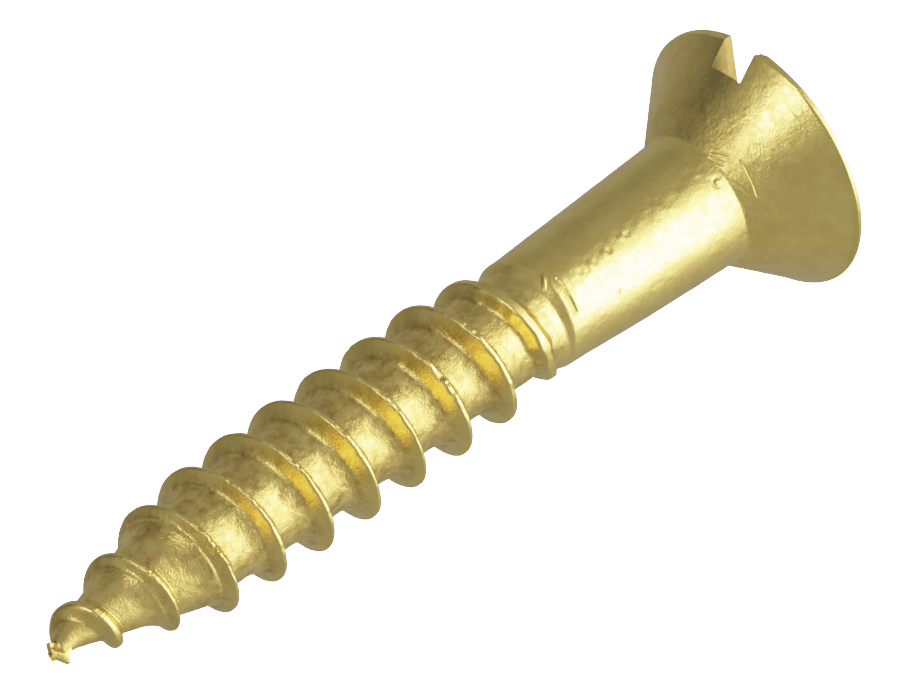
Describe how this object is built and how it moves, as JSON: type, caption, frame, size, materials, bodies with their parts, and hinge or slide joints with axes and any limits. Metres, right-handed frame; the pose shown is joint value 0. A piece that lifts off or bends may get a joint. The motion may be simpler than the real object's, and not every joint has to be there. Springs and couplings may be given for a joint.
{
  "type": "wood screw",
  "caption": "Slotted countersunk wood screw in solid brass, with a plain tapered shank, a coarse right-hand thread and a gimlet point.",
  "frame": {"origin": "centre of the head's flat face, on the screw's axis", "axes": "+Z along the screw from the head to the tip, so the screw stands on its head; +X along the driver slot"},
  "size_m": [0.0092, 0.0092, 0.0318],
  "materials": {
    "brass": "satin, as made, with a hammered look in the thread's roots"
  },
  "bodies": {
    "root": {"head": "brass", "shank": "brass", "thread_core": "brass", "thread_ridge": "brass", "gimlet_point": "brass"}
  },
  "joints": []
}
